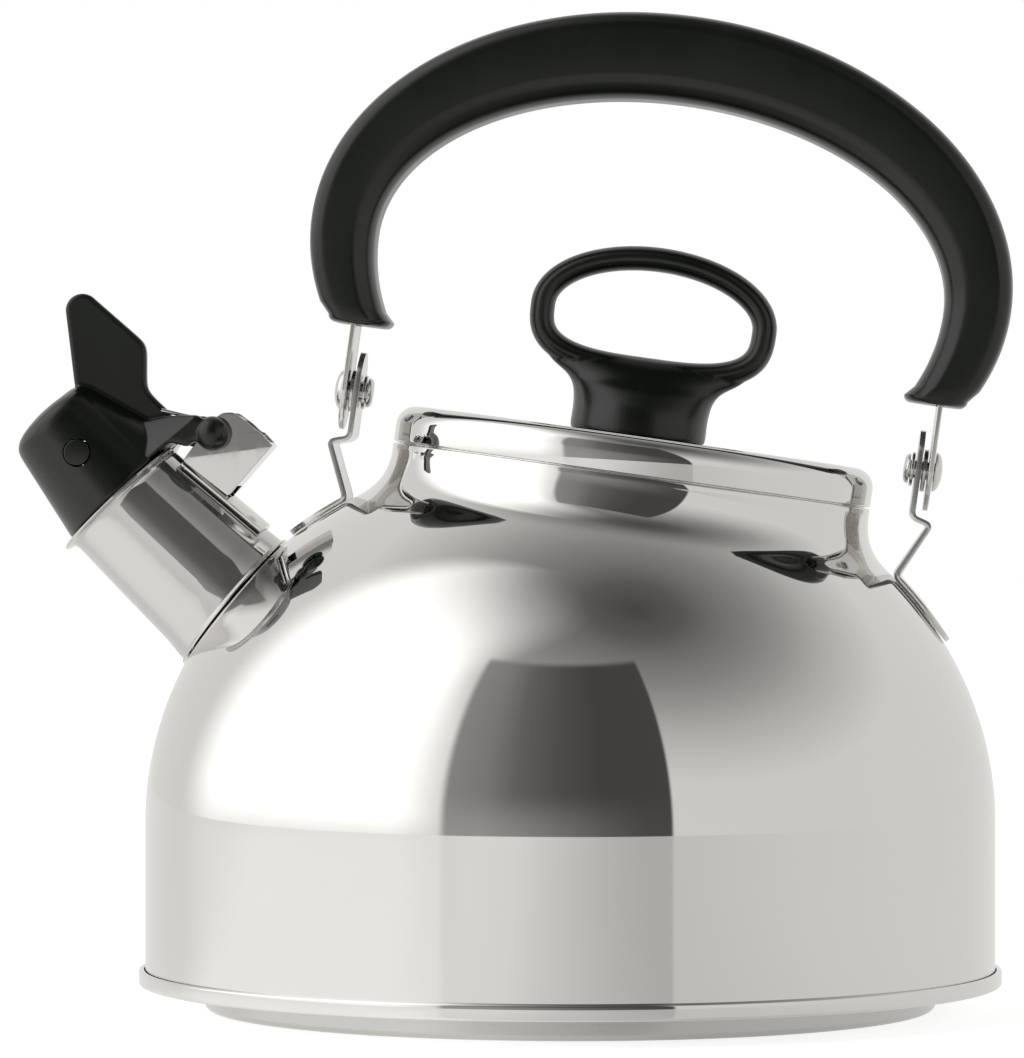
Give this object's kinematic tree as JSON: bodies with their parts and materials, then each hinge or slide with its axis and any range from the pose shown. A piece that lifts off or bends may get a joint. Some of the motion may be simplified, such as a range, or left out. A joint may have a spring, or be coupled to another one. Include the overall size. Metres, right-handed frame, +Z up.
{
  "type": "stovetop whistling kettle",
  "caption": "Mirror-polished domed kettle with a leaning neck and lid, loop knob, arched folding handle, and a short spout shut by a sprung whistle cap with a thumb fin.",
  "frame": {"origin": "centre of the base's underside, on the body's axis", "axes": "+Z up, the spout points to -X, and the XZ plane is the plane of symmetry"},
  "size_m": [0.2345, 0.203, 0.2339],
  "materials": {
    "polished_steel": "mirror polished stainless steel",
    "strip_steel": "plain rolled stainless strip and wire",
    "aluminium_core": "mill finish",
    "brass": "machined",
    "black_plastic": "semi-gloss moulded phenolic resin"
  },
  "bodies": {
    "kettle": {"body_shell": "polished_steel", "bottom_plate": "polished_steel", "base_cap": "polished_steel", "heat_spreader_disc": "aluminium_core", "spout_tube": "polished_steel", "spout_hinge_bracket": "strip_steel", "hinge_pin": "strip_steel", "lever_spring": "strip_steel", "handle_bracket_left": "strip_steel", "handle_bracket_right": "strip_steel", "pivot_rivet_left": "strip_steel", "pivot_rivet_right": "strip_steel", "rivet_washer_left": "strip_steel", "rivet_washer_right": "strip_steel", "spring_washer_left": "strip_steel", "spring_washer_right": "strip_steel"},
    "handle": {"handle_grip": "black_plastic", "handle_tang_left": "strip_steel", "handle_tang_right": "strip_steel"},
    "lid": {"lid_cover": "polished_steel", "lid_sleeve": "strip_steel", "knob": "black_plastic", "knob_insert": "brass", "knob_screw": "strip_steel", "knob_washer": "strip_steel"},
    "whistle_lever": {"whistle_cap": "black_plastic", "whistle_cup": "strip_steel", "whistle_ring": "strip_steel", "whistle_disc": "strip_steel", "cap_plug_front": "black_plastic", "cap_plug_back": "black_plastic", "lever_spring_arm": "strip_steel"}
  },
  "joints": [
    {"name": "handle_swing", "type": "hinge", "parent": "kettle", "child": "handle", "pos_m": [0.01599, 0, 0.1358], "axis": [0.9903, 0, -0.1392], "range_deg": [-90, 90]},
    {"name": "lid_lift", "type": "slide", "parent": "kettle", "child": "lid", "axis": [0.1392, 0, 0.9903], "range_m": [0, 0.03]},
    {"name": "whistle_lever_turn", "type": "hinge", "parent": "kettle", "child": "whistle_lever", "pos_m": [-0.0837, 0, 0.135], "axis": [0, 1, 0], "range_deg": [0, 60], "stiffness_Nm_per_rad": 0.04, "springref_deg": -51.57}
  ]
}
